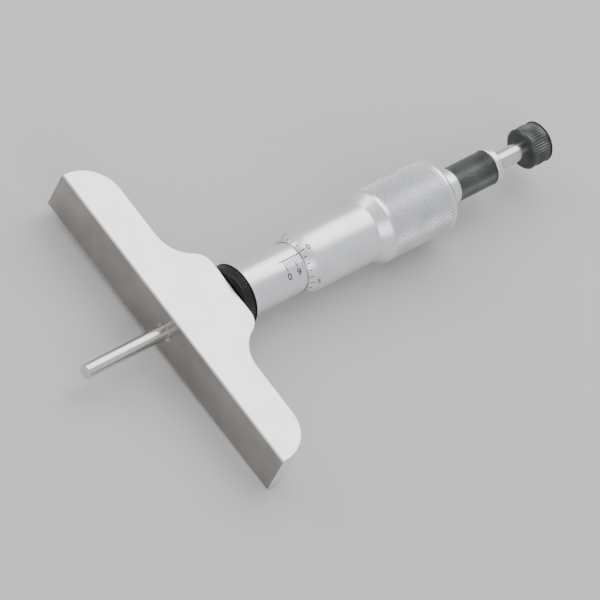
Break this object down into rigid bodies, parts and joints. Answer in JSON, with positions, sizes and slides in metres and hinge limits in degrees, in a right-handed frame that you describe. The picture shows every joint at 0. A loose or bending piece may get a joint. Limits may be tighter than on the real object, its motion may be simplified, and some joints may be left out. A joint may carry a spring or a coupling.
{
  "type": "depth micrometer",
  "caption": "Depth micrometer: a flat T base carries a graduated sleeve and thimble that screw a thin measuring rod out through the base, with a lock ring and a ratchet knob.",
  "frame": {"origin": "centre of the base's flat measuring face, on the spindle axis", "axes": "+X runs along the spindle from the measuring face to the ratchet knob, Y runs along the base, +Z is the normal of the base's upper flat side as the tool lies on its side"},
  "size_m": [0.1246, 0.0762, 0.0162],
  "materials": {
    "satin_chrome": "satin chrome plate",
    "hardened_steel": "turned and hardened steel",
    "ground_steel": "ground and polished steel",
    "black_steel": "blackened knurled steel",
    "dark_steel": "dark oiled knurled steel",
    "bronze": "turned bronze"
  },
  "bodies": {
    "frame": {"base": "satin_chrome", "barrel": "hardened_steel", "adjusting_nut": "hardened_steel", "lock_bush": "bronze", "lock_roller": "hardened_steel"},
    "lock": {"lock_ring": "black_steel"},
    "scale": {"sleeve": "satin_chrome"},
    "rod": {"measuring_rod": "ground_steel", "rod_adjusting_nut": "hardened_steel", "rod_lock_nut": "hardened_steel"},
    "head": {"spindle": "hardened_steel", "thimble": "satin_chrome", "thimble_nut": "hardened_steel", "cap": "dark_steel", "ratchet_ring": "hardened_steel", "cap_gland": "satin_chrome"},
    "knob": {"ratchet_knob": "dark_steel", "stem_screw": "hardened_steel", "ratchet_spring": "hardened_steel", "spring_washer": "hardened_steel"},
    "driver": {"ratchet_driver": "hardened_steel"}
  },
  "joints": [
    {"name": "lock_turn", "type": "hinge", "parent": "frame", "child": "lock", "pos_m": [0.0177, 0, 0], "axis": [1, 0, 0], "range_deg": [0, 40]},
    {"name": "sleeve_zero", "type": "hinge", "parent": "frame", "child": "scale", "pos_m": [0.0376, 0, 0], "axis": [1, 0, 0], "range_deg": [-14.4, 14.4]},
    {"name": "spindle_feed", "type": "slide", "parent": "frame", "child": "rod", "axis": [-1, 0, 0], "range_m": [-0.02096, 0.00445]},
    {"name": "thimble_turn", "type": "hinge", "parent": "rod", "child": "head", "pos_m": [0.05, 0, 0], "axis": [-1, 0, 0], "range_deg": [-11880, 2520]},
    {"name": "ratchet_turn", "type": "hinge", "parent": "head", "child": "knob", "pos_m": [0.095, 0, 0], "axis": [-1, 0, 0], "continuous": true},
    {"name": "ratchet_click", "type": "slide", "parent": "knob", "child": "driver", "axis": [1, 0, 0], "range_m": [0, 0.00066], "stiffness_N_per_m": 1000, "springref_m": -0.002, "deforming": ["ratchet_spring"]}
  ],
  "couplings": [
    {"joint": "spindle_feed", "follows": "thimble_turn", "m_per_rad": 0.00010106}
  ]
}
